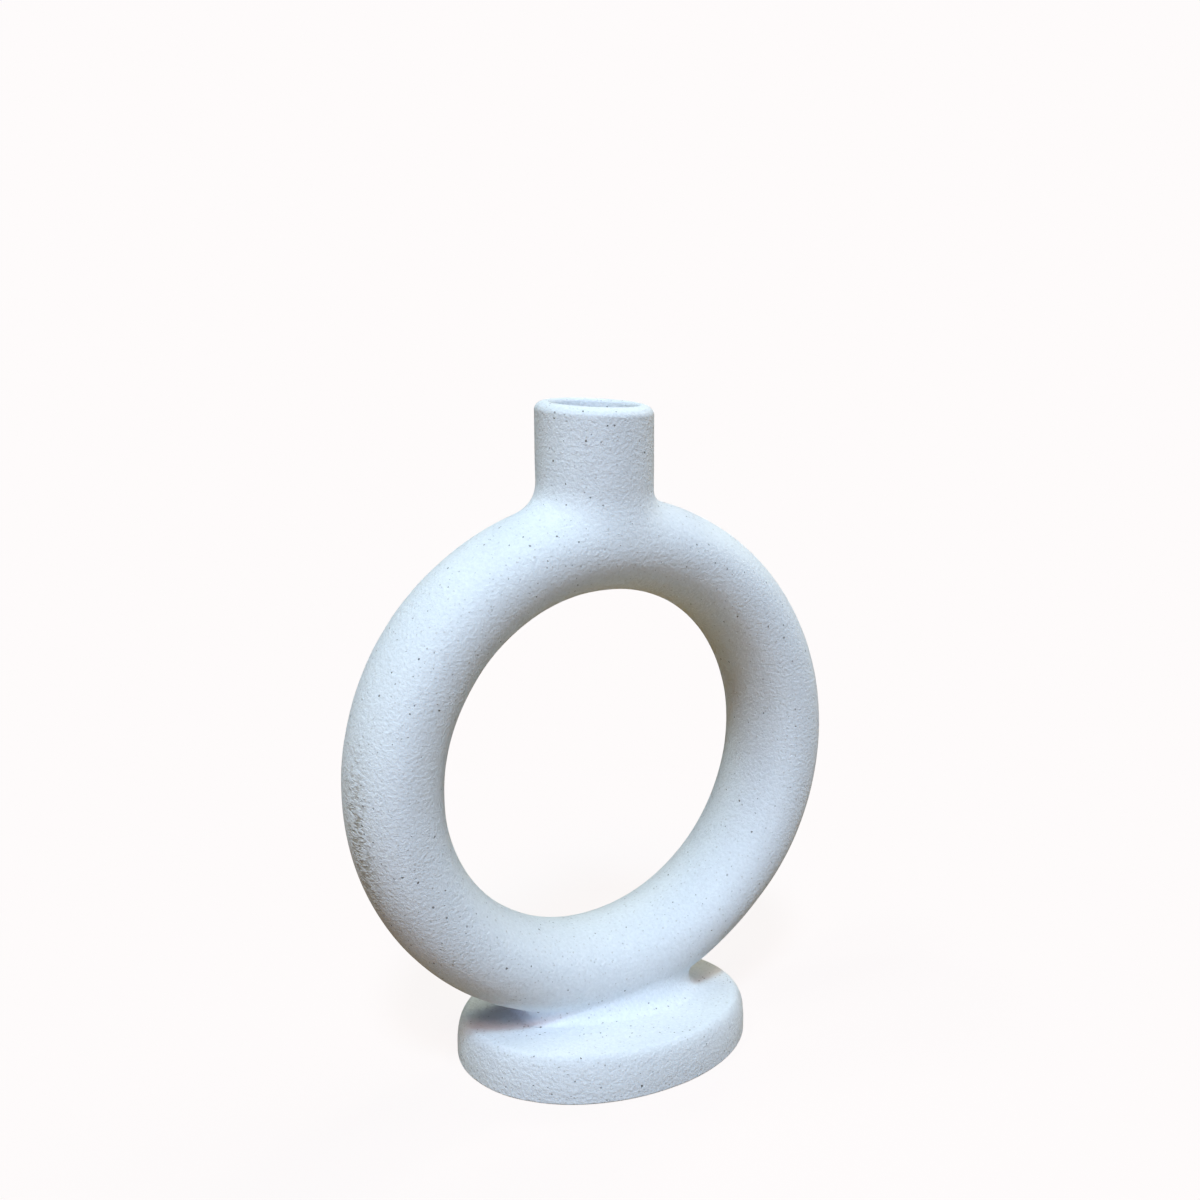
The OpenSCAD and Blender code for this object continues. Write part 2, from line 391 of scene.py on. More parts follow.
def by_hand(points, plan, hand):
    """Moves points as the potter's hands do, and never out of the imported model's box.

    A point goes towards or away from the middle of the tube, or of the neck or foot, by a depth
    that follows two clouds of random values, and only towards it at the vase's widest places. The
    outer face of the ring is pressed in around one turn by a bell curve, and its hole is shifted.
    The neck's height falls with a plane that leans towards the rim's low side.
    """
    x, y, z = np.moveaxis(points, -1, 0)
    rise = z - plan.ring_z
    reach = np.hypot(x, rise)
    out = stack(x / reach, 0.0, rise / reach)
    hole_r = plan.ring_r - plan.half_thick
    over_foot = smooth_step(z, plan.foot_h, plan.foot_h + CLEAR_FOOT)

    from_tube = unit(stack(x, y, rise) - out * plan.ring_r, TUBE_SOFT)
    from_axis = unit(stack(x, y, 0.0), AXIS_SOFT)
    on_neck = smooth_step(z, plan.crown_z + NECK_BAND[0], plan.crown_z + NECK_BAND[1])
    on_foot = 1 - smooth_step(z, plan.foot_h, plan.foot_h + FOOT_BAND)
    away = from_tube + np.maximum(on_neck, on_foot)[..., None] * (from_axis - from_tube)

    depth = hand.wave_depth * cloud(points, hand.wave_size, WAVE_SEED)
    depth += hand.ripple_depth * cloud(points, hand.ripple_size, RIPPLE_SEED)
    widest = smooth_step(np.abs(x), plan.crown + WIDEST_BAND[0], plan.crown + WIDEST_BAND[1])
    deepest = smooth_step(np.abs(y), plan.half_depth, plan.half_depth + DEEPEST_BAND)
    depth += np.maximum(widest, deepest) * (np.abs(depth) - depth)
    moved = points - away * depth[..., None]

    turn = np.arctan2(rise, x) - hand.press_turn
    turn = np.arctan2(np.sin(turn), np.cos(turn))
    press = hand.press_depth * np.exp(-((turn / hand.press_spread) ** 2)) * over_foot
    press *= smooth_step(reach, hole_r, plan.ring_r + plan.half_thick)
    moved -= out * press[..., None]

    inner = (1 - smooth_step(reach, hole_r, plan.ring_r)) * over_foot
    moved[..., 0] += hand.hole_shift_x * inner
    moved[..., 2] -= hand.hole_shift_z * inner

    slope = math.hypot(hand.rim_fall_x, hand.rim_fall_y)
    drop = slope * plan.neck_r - hand.rim_fall_x * x - hand.rim_fall_y * y
    moved[..., 2] -= drop * smooth_step(z, plan.crown_z + NECK_BAND[1], plan.rim_z)
    return moved


def foot_rise(hand, x, y):
    """How far the foot's top stands over its plain height: a plane through x and y."""
    return hand.foot_lift - hand.foot_fall_x * x - hand.foot_fall_y * y


def fuller(around, more):
    """Factor that fills an oval out between its four ends: a cosine of four times the angle."""
    return 1 + more * (1 - np.cos(4 * around)) / 2


def grid_normals(points, wrap_rows):
    """Unit normals of a grid that closes on itself along its first index: the cross product of
    the differences along its two directions."""
    along = np.roll(points, -1, 0) - np.roll(points, 1, 0)
    if wrap_rows:
        across = np.roll(points, -1, 1) - np.roll(points, 1, 1)
    else:
        across = np.gradient(points, axis=1, edge_order=2)
    return unit(np.cross(along, across))


def flat_normals(points, quads):
    """Unit normals of quads, one at each of their corners: the cross product of the diagonals."""
    p = points[quads]
    return np.repeat(unit(np.cross(p[:, 2] - p[:, 0], p[:, 3] - p[:, 1]), TINY), 4, axis=0)


def sponged_normals(points, normals, plan):
    """Normals turned towards one another where neck and ring meet, so that light runs over the
    corner as over sponged clay.

    The share of the tube's normal is a smooth step of the distance from the neck's wall less the
    distance from the tube's face; the rest is the neck's normal. Both fade out a reach away.
    """
    x, y, z = np.moveaxis(points, -1, 0)
    radius = np.maximum(np.hypot(x, y), MM)
    neck_normal = stack(x / radius, y / radius, 0.0)
    rise = z - plan.ring_z
    reach = np.hypot(x, rise)
    over = (reach - plan.ring_r) / plan.half_thick
    deep = y / plan.half_depth
    outwards = over / plan.half_thick
    tube_normal = stack(x / reach * outwards, deep / plan.half_depth, rise / reach * outwards)
    tube_normal = unit(tube_normal, TINY)
    lead = np.maximum(radius - plan.neck_r, 0) - (np.hypot(over, deep) - 1) * plan.half_thick
    tube_share = smooth_step(lead, -SPONGE_REACH, SPONGE_REACH)[..., None]
    mixed = neck_normal + tube_share * (tube_normal - neck_normal)
    near = 1 - smooth_step(np.abs(lead), SPONGE_FULL * SPONGE_REACH, SPONGE_REACH)
    low = plan.ring_z + plan.ring_r
    near *= smooth_step(z, low - SPONGE_BAND, low + SPONGE_BAND)
    near *= radius > plan.neck_r - NECK_SKIN
    return unit(normals + near[..., None] * (mixed - normals))


def grid_quads(steps, rows, wrap_rows=False):
    """Corner numbers of the faces of a grid that closes on itself along its first index."""
    i = np.arange(steps)[:, None]
    j = np.arange(rows if wrap_rows else rows - 1)[None, :]
    after_i = (i + 1) % steps
    after_j = (j + 1) % rows
    return stack(i * rows + j, after_i * rows + j, after_i * rows + after_j, i * rows + after_j)


def new_piece(name, points, faces, corner_normals=None):
    """An object at the origin with a mesh of these points and lists of quads or triangles."""
    mesh = bpy.data.meshes.new(name)
    points = points.reshape(-1, 3)
    sizes = np.concatenate([np.full(len(f), f.shape[1]) for f in faces])
    corners = np.concatenate([f.ravel() for f in faces])
    mesh.vertices.add(len(points))
    mesh.vertices.foreach_set("co", points.astype(np.float32).ravel())
    mesh.loops.add(len(corners))
    mesh.loops.foreach_set("vertex_index", corners.astype(np.int32))
    mesh.polygons.add(len(sizes))
    starts = np.cumsum(sizes) - sizes
    mesh.polygons.foreach_set("loop_start", starts.astype(np.int32))
    mesh.update(calc_edges=True)
    if mesh.validate():
        raise RuntimeError(f"the mesh of {name} had faults")
    if corner_normals is not None:
        mesh.normals_split_custom_set(corner_normals.tolist())
    piece = bpy.data.objects.new(name, mesh)
    bpy.context.scene.collection.objects.link(piece)
    return piece


def section_leans(plan, steps):
    """Leans of the tube's face from 0 to half a turn, at even steps along its section.

    An arc's length is its radius times its lean, so the leans are read back from that length.
    """
    lean = np.linspace(0, math.pi, ARC_STEPS + 1)
    radius = np.where(np.sin(lean) < MEET_SINE, plan.side_r, plan.end_r)
    path = np.concatenate([[0], np.cumsum(0.5 * (radius[1:] + radius[:-1]) * np.diff(lean))])
    leans = np.interp(np.linspace(0, path[-1], steps + 1), path, lean)
    leans[-1] = math.pi
    return leans


def ring_face(plan, turn, lean, inset):
    """A point of the tube's face: its section, turned around the axis of the ring.

    The section is an arc's centre plus its radius times the cosine and sine of the lean.
    """
    across, deep = np.cos(lean), np.sin(lean)
    on_side = np.abs(deep) < MEET_SINE
    side = plan.side_r - inset
    end = plan.end_r - inset
    reach = plan.ring_r + np.where(
        on_side, side * across - np.sign(across) * plan.side_mid, end * across
    )
    depth = np.where(on_side, side * deep, end * deep + np.sign(deep) * plan.end_mid)
    turn = turn[:, None]
    return stack(reach * np.cos(turn), depth, plan.ring_z + reach * np.sin(turn))


def make_ring_half(name, sizes, hand, side):
    """Half of the hollow ring as a shell: its outer face, its cavity's face, and walls between
    them along the parting plane and around the hole for the neck."""
    plan = lay_out(sizes)
    leans = section_leans(plan, HALF_SECTION_STEPS)
    rows = len(leans)
    turn = turns(RING_STEPS)

    # The whole section, so that the normals run on over the seam
    whole = np.concatenate([leans, -leans[-2:0:-1]])
    own = side * np.arange(rows) % len(whole)
    skins, normals = [], []
    for inset in (0.0, plan.wall):
        plain = ring_face(plan, turn, whole, inset)
        skin = by_hand(plain, plan, hand)
        outwards = grid_normals(skin, True)
        outwards *= np.sign(outwards[0, 0, 0])
        if not inset:
            outwards = sponged_normals(plain, outwards, plan)
        skins.append(skin[:, own])
        normals.append(outwards[:, own])

    # Faces that the hole takes away, judged at mid wall
    quads = grid_quads(RING_STEPS, rows)
    middle = ring_face(plan, turn, side * leans, plan.wall / 2).reshape(-1, 3)
    centre = middle[quads].mean(-2)
    hole_r = plan.neck_r + HOLE_SHARE * (plan.bore_r - plan.neck_r)
    row_lean = 0.5 * (leans[1:] + leans[:-1])
    in_hole = (np.hypot(centre[..., 0], centre[..., 1]) < hole_r) & (row_lean < HOLE_LEAN)
    in_hole &= centre[..., 2] > plan.ring_z
    outer = quads[~in_hole]
    if side == BACK:
        outer = outer[:, ::-1]

    # Walls stand on the edges that no face passes along the other way
    count = RING_STEPS * rows
    edges = np.concatenate([outer[:, [k, (k + 1) % 4]] for k in range(4)])
    there = edges[:, 0].astype(np.int64) * count + edges[:, 1]
    back = edges[:, 1].astype(np.int64) * count + edges[:, 0]
    rim = edges[~np.isin(there, back)]
    walls = stack(rim[:, 1], rim[:, 0], rim[:, 0] + count, rim[:, 1] + count)

    points = np.concatenate([skin.reshape(-1, 3) for skin in skins])
    face_out = np.concatenate([normals[0].reshape(-1, 3), -normals[1].reshape(-1, 3)])
    faces = np.concatenate([outer, outer[:, ::-1] + count])
    corner_normals = np.concatenate([face_out[faces].reshape(-1, 3), flat_normals(points, walls)])
    return new_piece(name, points, [faces, walls], corner_normals)


def make_neck(name, sizes, hand):
    """The neck: a profile of wall, lip of two quarter ellipses and flared bore, turned around Z.
    Its lower end follows the face of the ring's cavity."""
    plan = lay_out(sizes)
    turn = turns(NECK_STEPS)[:, None]
    across, deep = np.cos(turn), np.sin(turn)
    crest_r = plan.neck_r - sizes.lip_width
    inner_r = plan.bore_r + sizes.bore_flare
    lip_low = plan.rim_z - sizes.lip_height
    bore_high = plan.rim_z - sizes.lip_edge

    def seat_height(radius):
        return plan.ring_z + crown_rise(plan, radius * across, radius * deep, plan.wall)

    def quarter_arc(angles, low, width):
        return crest_r + width * np.cos(angles), low + (plan.rim_z - low) * np.sin(angles)

    outer_low, inner_low = seat_height(plan.neck_r), seat_height(inner_r)
    rise = np.linspace(0, 1, WALL_ROWS)
    bore_z = inner_low + rise[::-1] * (bore_high - inner_low)
    flare = sizes.bore_flare * (1 - smooth_step(bore_z, inner_low, plan.crown_z))
    seat_r = inner_r + np.linspace(0, 1, SEAT_ROWS)[1:-1] * (plan.neck_r - inner_r)
    profile = (
        (plan.neck_r, outer_low + rise * (lip_low - outer_low)),
        quarter_arc(np.linspace(0, QUARTER, LIP_ROWS)[1:], lip_low, sizes.lip_width),
        quarter_arc(
            np.linspace(QUARTER, 0, MOUTH_ROWS)[1:-1], bore_high, plan.bore_r - crest_r
        ),
        (plan.bore_r + flare, bore_z),
        (seat_r, seat_height(seat_r)),
    )
    points = np.concatenate([spun(turn, *part) for part in profile], 1)
    shaped = by_hand(points, plan, hand)
    normals = grid_normals(shaped, True)
    normals *= np.sign(normals[0, WALL_ROWS // 2, 0])
    normals = sponged_normals(points, normals, plan).reshape(-1, 3)
    quads = grid_quads(NECK_STEPS, points.shape[1], wrap_rows=True).reshape(-1, 4)
    return new_piece(name, shaped, [quads], normals[quads].reshape(-1, 3))


def make_coil(name, plan, hand, around, face, hidden):
    """A closed coil around Z from the open face of its profile and the points of its hidden side.

    face and hidden are pairs of radius and height, by angle and place along the profile. The face
    stands a hair over its neighbours and sinks into them at both edges, by a high power of the
    distance from its middle, and keeps the normals that it has without that.
    """
    plain = spun(around, *face)
    open_face = by_hand(plain, plan, hand)
    normals = grid_normals(open_face, False)
    normals *= np.sign(np.sum(normals * spun(around, face[0], 0.0)))
    normals = sponged_normals(plain, normals, plan)
    steps = open_face.shape[1]
    edge = np.abs(np.linspace(-1, 1, steps)) ** COIL_EDGE_POWER
    lift = COIL_LIFT - (COIL_LIFT + COIL_SINK) * edge
    hidden_face = by_hand(spun(around, *hidden), plan, hand)
    points = np.concatenate([open_face + normals * lift[:, None], hidden_face], 1)

    quads = grid_quads(len(around), points.shape[1], wrap_rows=True)
    first = flat_normals(points.reshape(-1, 3), quads[0, :1])[0]
    if np.dot(first, normals[0, 0]) < 0:
        quads = quads[..., ::-1]
    shown = quads[:, : steps - 1].reshape(-1, 4)
    buried = quads[:, steps - 1 :].reshape(-1, 4)
    every = np.zeros_like(points)
    every[:, :steps] = normals
    smooth = every.reshape(-1, 3)[shown].reshape(-1, 3)
    corner_normals = np.concatenate([smooth, flat_normals(points.reshape(-1, 3), buried)])
    return new_piece(name, points, [shown, buried], corner_normals)


def make_neck_joint(name, sizes, hand):
    """Clay smoothed between neck and ring: a conic arc with equal arms, upright at the neck's
    wall and in line with the tube's face at its other end, for each angle around the neck."""
    plan = lay_out(sizes)
    around = turns(NECK_STEPS)[:, None]
    across, deep = np.cos(around), np.sin(around)
    wall_r = plan.neck_r
    tilt = np.arctan(crown_fall(plan, wall_r * across, wall_r * deep))
    arm = (sizes.neck_blend - hand.blend_bias * across) / np.tan((QUARTER + tilt) / 2)
    end_r = wall_r + arm * np.cos(tilt)
    end_z = plan.ring_z + crown_rise(plan, end_r * across, end_r * deep)
    fall = crown_fall(plan, end_r * across, end_r * deep)
    corner_z = end_z + fall * (end_r - wall_r)
    top_z = corner_z + np.hypot(end_r - wall_r, end_z - corner_z)

    t = np.linspace(0, 1, BLEND_STEPS + 1)
    start, middle, end = (1 - t) ** 2, 2 * t * (1 - t), t**2
    radius = (start + middle) * wall_r + end * end_r
    height = start * top_z + middle * corner_z + end * end_z
    root_r = np.full_like(end_r, wall_r - COIL_ROOT)
    hidden_r = np.concatenate([end_r - COIL_ROOT, root_r, root_r], 1)
    hidden_z = np.concatenate([end_z, corner_z, top_z], 1) - COIL_ROOT
    return make_coil(name, plan, hand, around, (radius, height), (hidden_r, hidden_z))


def make_foot(name, sizes, hand):
    """The foot: loops of an ellipse, moved in from the outline and down its profile of flat top,
    quarter-ellipse shoulder, side, round heel, standing rim and hollow, with a pole at each end."""
    plan = lay_out(sizes)
    turn = turns(FOOT_STEPS)
    quarter = np.linspace(0, QUARTER, SHOULDER_ROWS)
    flat = np.linspace(0, 1, FLAT_ROWS)[1:-1]
    half_x, half_y = plan.foot_x, plan.foot_y - hand.foot_shift_y
    corner = sizes.heel
    small = np.linspace(0, QUARTER, ROUND_ROWS)
    short, long = corner * (1 - np.cos(small)), corner * (1 - np.sin(small))

    def from_outline(inset, height):
        return stack(half_x - inset, half_y - inset, height)

    top = from_outline(sizes.shoulder_in, plan.foot_h) * stack(flat, flat, 1.0)
    shoulder = from_outline(
        sizes.shoulder_in * (1 - np.sin(quarter)),
        plan.foot_h - sizes.shoulder_down * (1 - np.cos(quarter)),
    )
    side = from_outline(
        0.0, np.linspace(plan.foot_h - sizes.shoulder_down, corner, SIDE_ROWS)[1:-1]
    )
    heel = from_outline(short, long)
    rim = from_outline(np.linspace(corner, sizes.rim_width - corner, RIM_ROWS)[1:], 0.0)
    edge = from_outline(sizes.rim_width - long[1:], short[1:])
    cove = from_outline(sizes.rim_width + short, sizes.hollow - long)
    inside = from_outline(sizes.rim_width + corner, sizes.hollow)
    inside = inside * stack(flat[::-1], flat[::-1], 1.0)
    loops = np.concatenate([top, shoulder, side, heel, rim, edge, cove, inside])
    rows = len(loops)
    full = fuller(turn, hand.foot_square)
    across, deep = (full * np.cos(turn))[:, None], (full * np.sin(turn))[:, None]
    deep = deep * (1 + hand.foot_egg * across)
    points = stack(loops[:, 0] * across, loops[:, 1] * deep, loops[:, 2])
    poles = [[0, 0, plan.foot_h], [0, 0, sizes.hollow]]
    plain = np.concatenate([points.reshape(-1, 3), poles]) - [0, hand.foot_shift_y, 0]
    shaped = by_hand(plain, plan, hand)
    lift = foot_rise(hand, shaped[:, 0], shaped[:, 1])
    shaped[:, 2] += lift * smooth_step(plain[:, 2], sizes.hollow, plan.foot_h)

    # The chip is a bell-shaped dent in the heel, up and inwards
    near = np.exp(-np.sum(((plain - CHIP_PLACE) / CHIP_SPREAD) ** 2, -1))
    shaped += hand.chip_depth * near[:, None] * CHIP_INWARDS
    shaped[:, 2] = np.maximum(shaped[:, 2], 0)

    # Normals lean outwards near the top's edge, as on clay that a sponge has rounded off
    normals = grid_normals(shaped[:-2].reshape(points.shape), False)
    middle = len(top) + len(shoulder) + len(side) // 2
    normals *= np.sign(normals[0, middle, 0])
    outwards = normals[:, middle] * [1, 1, 0]
    lean = np.zeros(rows)
    lean[: len(top)] = smooth_step(flat, FOOT_SPONGE_FROM, 1)
    lean[len(top) : len(top) + len(shoulder)] = 1 - np.linspace(0, 1, len(shoulder))
    normals = unit(normals + FOOT_SPONGE * lean[:, None] * outwards[:, None, :])
    every = np.concatenate([normals.reshape(-1, 3), [[0, 0, 1], [0, 0, -1]]])

    first = np.arange(FOOT_STEPS) * rows
    after = np.roll(first, -1)
    last = rows - 1
    top_pole = FOOT_STEPS * rows
    quads = grid_quads(FOOT_STEPS, rows).reshape(-1, 4)
    top_fan = stack(after, first, top_pole)
    low_fan = stack(first + last, after + last, top_pole + 1)
    faces = [part[:, ::-1] for part in (quads, top_fan, low_fan)]
    return new_piece(
        name, shaped, faces, np.concatenate([every[part].reshape(-1, 3) for part in faces])
    )


def make_foot_joint(name, sizes, hand):
    """Clay pressed in under the ring: for each angle, the arc of a ball that touches the tube's
    face and the foot's top. Its radius is the gap's arm times the tangent of half the tilt."""
    plan = lay_out(sizes)
    turn = turns(FOOT_STEPS)[:, None]
    across, deep = np.cos(turn), np.sin(turn)
    full = fuller(turn, JOINT_SQUARE)
    x = hand.joint_shift_x + full * sizes.joint_x * across
    y = full * sizes.joint_y * deep * (1 + hand.joint_egg * across)
    radius = np.hypot(x, y)
    tilt = np.arctan(crown_fall(plan, x, y))
    top_z = plan.ring_z - crown_rise(plan, x, y)
    low_z = plan.foot_h + foot_rise(hand, JOINT_SPLAY * x, JOINT_SPLAY * y)
    arm = (top_z - low_z) / np.sin(tilt)
    ball = arm * np.tan(tilt / 2)
    mid_r = radius - arm * np.cos(tilt) + arm

    t = np.linspace(0, 1, COIL_STEPS + 1)
    lean = 3 * QUARTER + t * (QUARTER + tilt - 3 * QUARTER)
    face_r = mid_r + ball * np.cos(lean)
    face_z = low_z + ball * (1 + np.sin(lean))

    core_r = JOINT_CORE / np.hypot(across, CORE_SLIMNESS * deep)
    high = np.full_like(radius, plan.foot_h + COIL_ROOT)
    low = np.full_like(radius, plan.foot_h - COIL_ROOT)
    hidden_r = np.concatenate([radius - COIL_ROOT, core_r, core_r, mid_r - COIL_ROOT], 1)
    hidden_z = np.concatenate([top_z + COIL_ROOT, high, low, low], 1)
    around = np.arctan2(y, x)
    return make_coil(name, plan, hand, around, (face_r, face_z), (hidden_r, hidden_z))


# ---- Clay ----


def cleared_tree(owner):
    """The emptied node tree of a material or a world."""
    owner.use_nodes = True
    owner.node_tree.nodes.clear()
    return owner.node_tree


def add_node(tree, kind, inputs=(), **settings):
    """A node of this kind, with settings on it and values or links on its inputs."""
    node = tree.nodes.new("ShaderNode" + kind)
    for name, value in settings.items():
        setattr(node, name, value)
    for key, value in dict(inputs).items():
        if isinstance(value, bpy.types.NodeSocket):
            tree.links.new(value, node.inputs[key])
        else:
            node.inputs[key].default_value = value
    return node


def work_out(tree, operation, *values, clamp=False):
    """The result of a Math node."""
    inputs = dict(enumerate(values))
    return add_node(tree, "Math", inputs, operation=operation, use_clamp=clamp).outputs[0]


def mix_colours(tree, part, one, other, blend="MIX"):
    """Two colours mixed by a share. In a Mix node, sockets 6 and 7 are the two colours."""
    inputs = {0: part, 6: one, 7: other}
    return add_node(tree, "Mix", inputs, data_type="RGBA", blend_type=blend).outputs[2]


def noise(tree, place, recipe, output="Fac"):
    """Noise read at a place, by a recipe of scale, detail and roughness."""
    scale, detail, roughness = recipe
    inputs = {"Vector": place, "Scale": scale, "Detail": detail, "Roughness": roughness}
    return add_node(tree, "TexNoise", inputs).outputs[output]


def new_group(name, inputs, outputs):
    """An empty node group with sockets of these names and kinds, and its two end nodes."""
    tree = bpy.data.node_groups.new(name, "ShaderNodeTree")
    for way, sockets in (("INPUT", inputs), ("OUTPUT", outputs)):
        for label, kind in sockets.items():
            tree.interface.new_socket(label, in_out=way, socket_type="NodeSocket" + kind)
    return tree, tree.nodes.new("NodeGroupInput"), tree.nodes.new("NodeGroupOutput")


def specks(tree, place, spacing, recipe):
    """Grains scattered through the clay: over 0 where the nearest cell point is closer than a
    radius that each cell draws by lot, for a share of the cells. How dark a grain is, is drawn
    too: the lot to the power of the skew, over the weakest."""
    smallest, largest, softness, filled, weakest, skew = recipe
    work = partial(work_out, tree)
    scale = work("DIVIDE", 1.0, spacing)
    inputs = {"Vector": place, "Scale": scale, "Randomness": 1.0}
    cells = add_node(tree, "TexVoronoi", inputs, voronoi_dimensions="3D", feature="F1")
    lot = add_node(tree, "SeparateColor", {"Color": cells.outputs["Color"]})
    size = work("MULTIPLY", lot.outputs[0], lot.outputs[0])
    size = work("MULTIPLY_ADD", size, largest - smallest, smallest)
    inside = work("SUBTRACT", size, cells.outputs["Distance"])
    inside = work("DIVIDE", inside, softness, clamp=True)
    chosen = work("LESS_THAN", lot.outputs[1], filled)
    depth = work("POWER", lot.outputs[2], skew)
    depth = work("MULTIPLY_ADD", depth, 1 - weakest, weakest)
    return work("MULTIPLY", work("MULTIPLY", inside, chosen), depth)


def speckled_clay_group():
    """Node group of the fired clay: soft clouds, fine sand, dark specks and a grainy face."""
    inputs = {"Place": "Vector"}
    inputs |= dict.fromkeys(("Clay", "Shade", "Sand", "Speck"), "Color")
    inputs |= dict.fromkeys(("Speck Spacing", "Sand Spacing", "Roughness"), "Float")
    outputs = {"Color": "Color", "Roughness": "Float", "Height": "Float"}
    tree, start, end = new_group("Speckled Clay", inputs, outputs)
    given = start.outputs
    place = given["Place"]
    work = partial(work_out, tree)

    # Irregular grains: the place is stirred by a fine noise before the cells are read
    stir = noise(tree, place, STIR_NOISE, "Color")
    stirred = add_node(
        tree, "VectorMath", {0: stir, 1: (STIR_REACH,) * 3, 2: place}, operation="MULTIPLY_ADD"
    ).outputs[0]

    clouds = noise(tree, place, CLOUD_NOISE)
    clouds = work("MULTIPLY_ADD", clouds, CLOUD_CONTRAST, CLOUD_START, clamp=True)
    body = mix_colours(tree, clouds, given["Clay"], given["Shade"])
    grain = noise(tree, place, GRAIN_NOISE)
    mottle = work("MULTIPLY_ADD", grain, COLOUR_SWING, 1 - COLOUR_SWING / 2)
    grey = add_node(tree, "CombineColor", {0: mottle, 1: mottle, 2: mottle}).outputs[0]
    body = mix_colours(tree, 1.0, body, grey, "MULTIPLY")
    sand = specks(tree, stirred, given["Sand Spacing"], SAND_GRAINS)
    sand_share = work("MULTIPLY", sand, SAND_SHARE)
    body = mix_colours(tree, sand_share, body, given["Sand"])
    dark = specks(tree, stirred, given["Speck Spacing"], DARK_SPECKS)
    body = mix_colours(tree, dark, body, given["Speck"])

    rough = work("MULTIPLY_ADD", grain, ROUGH_SWING, -ROUGH_SWING / 2)
    rough = work("ADD", rough, given["Roughness"])
    rough = work("MULTIPLY_ADD", dark, -SPECK_SMOOTHNESS, rough, clamp=True)

    # Fine wrinkles: narrow ridges where a coarser noise crosses its middle
    wrinkle = noise(tree, stirred, WRINKLE_NOISE)
    wrinkle = work("MULTIPLY_ADD", wrinkle, RIDGE_SLIMNESS, -RIDGE_SLIMNESS / 2)
    wrinkle = work("ABSOLUTE", wrinkle)
    ridge = work("SUBTRACT", 1.0, wrinkle, clamp=True)
    height = grain
    for form, rise in ((ridge, RIDGE_HEIGHT), (sand, SAND_HEIGHT), (dark, SPECK_HEIGHT)):
        height = work("MULTIPLY_ADD", form, rise, height)
    for label, result in (("Color", body), ("Roughness", rough), ("Height", height)):
        tree.links.new(result, end.inputs[label])
    return tree


def seam_share(tree, place):
    """How far the rough brown trace of the fettled seam shows: short strokes across a band on
    the outside of the left limb, strongest in its middle."""
    work = partial(work_out, tree)
    at = add_node(tree, "SeparateXYZ", {"Vector": place}).outputs
    ragged = noise(tree, place, SEAM_NOISE)
    shown = work("LESS_THAN", at[0], SEAM_MIDDLE[0] + SEAM_REACH[0])
    for axis in (1, 2):
        off = work("SUBTRACT", at[axis], SEAM_MIDDLE[axis])
        off = work("ABSOLUTE", work("DIVIDE", off, SEAM_REACH[axis]))
        off = work("MULTIPLY_ADD", ragged, SEAM_RAGGED, off)
        near = work("SUBTRACT", SEAM_EDGE, off, clamp=True)
        shown = work("MULTIPLY", shown, near)
    across = add_node(tree, "Mapping", {"Vector": place, "Scale": STROKE_SCALE}).outputs[0]
    strokes = noise(tree, across, STROKE_NOISE)
    strokes = work("MULTIPLY_ADD", strokes, STROKE_CONTRAST, STROKE_START, clamp=True)
    return work("MULTIPLY", shown, strokes)


def clay_material(name, clay, bump, with_seam):
    """The speckled clay on a matte shader, browned and roughened along the seam where asked."""
    material = bpy.data.materials.new(name)
    tree = cleared_tree(material)
    place = add_node(tree, "TexCoord").outputs["Object"]
    group = bpy.data.node_groups.get("Speckled Clay") or speckled_clay_group()
    inputs = {
        "Place": place,
        "Clay": (*clay.clay, 1),
        "Shade": (*clay.clay_shade, 1),
        "Sand": (*clay.sand, 1),
        "Speck": (*clay.speck, 1),
        "Speck Spacing": clay.speck_spacing,
        "Sand Spacing": clay.sand_spacing,
        "Roughness": clay.roughness,
    }
    mixed = add_node(tree, "Group", inputs, node_tree=group).outputs
    body, height = mixed["Color"], mixed["Height"]

    if with_seam:
        seam = seam_share(tree, place)
        brown = work_out(tree, "MULTIPLY", seam, SEAM_SHARE)
        body = mix_colours(tree, brown, body, (*clay.seam, 1))
        height = work_out(tree, "MULTIPLY_ADD", seam, SEAM_HEIGHT, height)

    lumps = {"Strength": bump, "Distance": BUMP_DEPTH, "Height": height}
    face = {
        "Base Color": body,
        "Roughness": mixed["Roughness"],
        "Normal": add_node(tree, "Bump", lumps).outputs["Normal"],
        "Specular IOR Level": GLOSS,
    }
    shader = add_node(tree, "BsdfPrincipled", face)
    add_node(tree, "OutputMaterial", {"Surface": shader.outputs[0]})
    return material


# ---- Stage ----


def show_apart(tree, room, view, output):
    """Gives the surface or world one shader for the view and another for everything else."""
    seen = add_node(tree, "LightPath").outputs["Is Camera Ray"]
    both = add_node(tree, "MixShader", {0: seen, 1: room.outputs[0], 2: view.outputs[0]})
    add_node(tree, output, {"Surface": both.outputs[0]})


